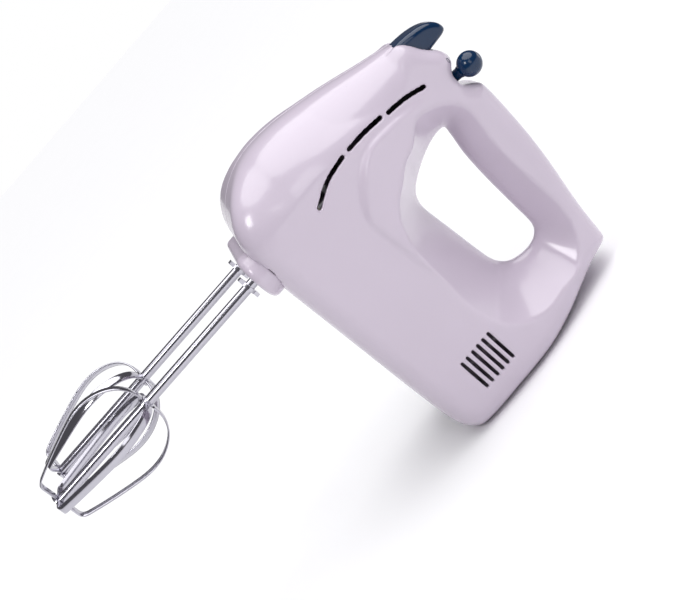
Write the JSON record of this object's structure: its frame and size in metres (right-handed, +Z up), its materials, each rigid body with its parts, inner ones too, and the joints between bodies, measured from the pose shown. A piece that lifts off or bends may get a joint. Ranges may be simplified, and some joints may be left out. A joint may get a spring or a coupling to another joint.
{
  "type": "hand mixer",
  "caption": "Electric hand mixer with a closed loop grip, eject button, ball-ended speed lever and wire-cage beaters driven by a worm and gears.",
  "frame": {"origin": "on the flat heel face, in the middle plane between the two sides, 49 mm above the lowest line of the motor body as the mixer is held", "axes": "+Z up from the heel to the nose, +X from the beater tips through the motor body to the grip, -Y the mixer's left side"},
  "size_m": [0.3127, 0.0883, 0.19],
  "materials": {
    "shell": "glossy moulded",
    "control": "glossy moulded",
    "beater_metal": "polished",
    "steel": "machined",
    "lamination": "stacked sheet",
    "bronze": "sintered",
    "commutator_copper": "turned",
    "winding": "enamelled wire",
    "gear_plastic": "moulded",
    "frame_metal": "die cast",
    "black_plastic": "moulded",
    "carbon": "pressed carbon",
    "capacitor_case": "moulded"
  },
  "bodies": {
    "housing": {"left_housing": "shell", "right_housing": "shell", "housing_screws": "steel", "beater_collar": "shell", "gear_frame": "frame_metal", "gear_cover": "frame_metal", "front_bearing": "bronze", "rear_bearing": "bronze", "spindle_bush_left": "bronze", "spindle_bush_right": "bronze", "rear_bracket": "frame_metal", "stator_core": "lamination", "stator_coils": "winding", "motor_screws": "steel", "brush_holders": "bronze", "carbon_brushes": "carbon", "suppression_capacitor": "capacitor_case", "ejector_guide": "black_plastic", "lever_pin": "steel", "speed_switch": "black_plastic", "cord_inlet": "black_plastic", "cord_clamp": "black_plastic", "clamp_screws": "steel"},
    "armature": {"motor_shaft": "steel", "worm": "steel", "armature_core": "lamination", "armature_windings": "winding", "commutator": "commutator_copper", "cooling_fan": "gear_plastic"},
    "ejector": {"eject_button": "control", "ejector_yoke": "black_plastic", "eject_spring": "steel"},
    "speed_control": {"speed_lever": "control", "speed_knob": "control"},
    "spindle_left": {"spindle_gear_left": "gear_plastic", "spindle_sleeve_left": "steel", "retaining_clip_left": "steel"},
    "pin_left": {"ejector_pin_left": "steel"},
    "beater_left": {"beater_shank_left": "beater_metal", "beater_lugs_left": "beater_metal", "beater_hubs_left": "beater_metal", "beater_blades_left": "beater_metal"},
    "spindle_right": {"spindle_gear_right": "gear_plastic", "spindle_sleeve_right": "steel", "retaining_clip_right": "steel"},
    "pin_right": {"ejector_pin_right": "steel"},
    "beater_right": {"beater_shank_right": "beater_metal", "beater_lugs_right": "beater_metal", "beater_hubs_right": "beater_metal", "beater_blades_right": "beater_metal"}
  },
  "joints": [
    {"name": "motor_spin", "type": "hinge", "parent": "housing", "child": "armature", "pos_m": [-0.012, 0, 0.1], "axis": [0, 0, 1], "continuous": true},
    {"name": "eject_press", "type": "slide", "parent": "housing", "child": "ejector", "axis": [-1, 0, 0], "range_m": [0, 0.007], "stiffness_N_per_m": 600, "springref_m": -0.004, "deforming": ["eject_spring"]},
    {"name": "speed_select", "type": "hinge", "parent": "housing", "child": "speed_control", "pos_m": [0.078, 0, 0.134], "axis": [0, 0, 1], "range_deg": [0, 56]},
    {"name": "spindle_left_spin", "type": "hinge", "parent": "housing", "child": "spindle_left", "pos_m": [-0.05, -0.02, 0.146], "axis": [1, 0, 0], "continuous": true},
    {"name": "pin_left_push", "type": "slide", "parent": "spindle_left", "child": "pin_left", "axis": [-1, 0, 0], "range_m": [0, 0.007]},
    {"name": "beater_left_pull", "type": "slide", "parent": "pin_left", "child": "beater_left", "axis": [-1, 0, 0], "range_m": [0, 0.03]},
    {"name": "spindle_right_spin", "type": "hinge", "parent": "housing", "child": "spindle_right", "pos_m": [-0.05, 0.02, 0.146], "axis": [1, 0, 0], "continuous": true},
    {"name": "pin_right_push", "type": "slide", "parent": "spindle_right", "child": "pin_right", "axis": [-1, 0, 0], "range_m": [0, 0.007]},
    {"name": "beater_right_pull", "type": "slide", "parent": "pin_right", "child": "beater_right", "axis": [-1, 0, 0], "range_m": [0, 0.03]}
  ],
  "couplings": [
    {"joint": "spindle_left_spin", "follows": "motor_spin", "ratio": -0.064516},
    {"joint": "pin_left_push", "follows": "eject_press", "ratio": 1},
    {"joint": "spindle_right_spin", "follows": "motor_spin", "ratio": 0.064516},
    {"joint": "pin_right_push", "follows": "eject_press", "ratio": 1}
  ]
}
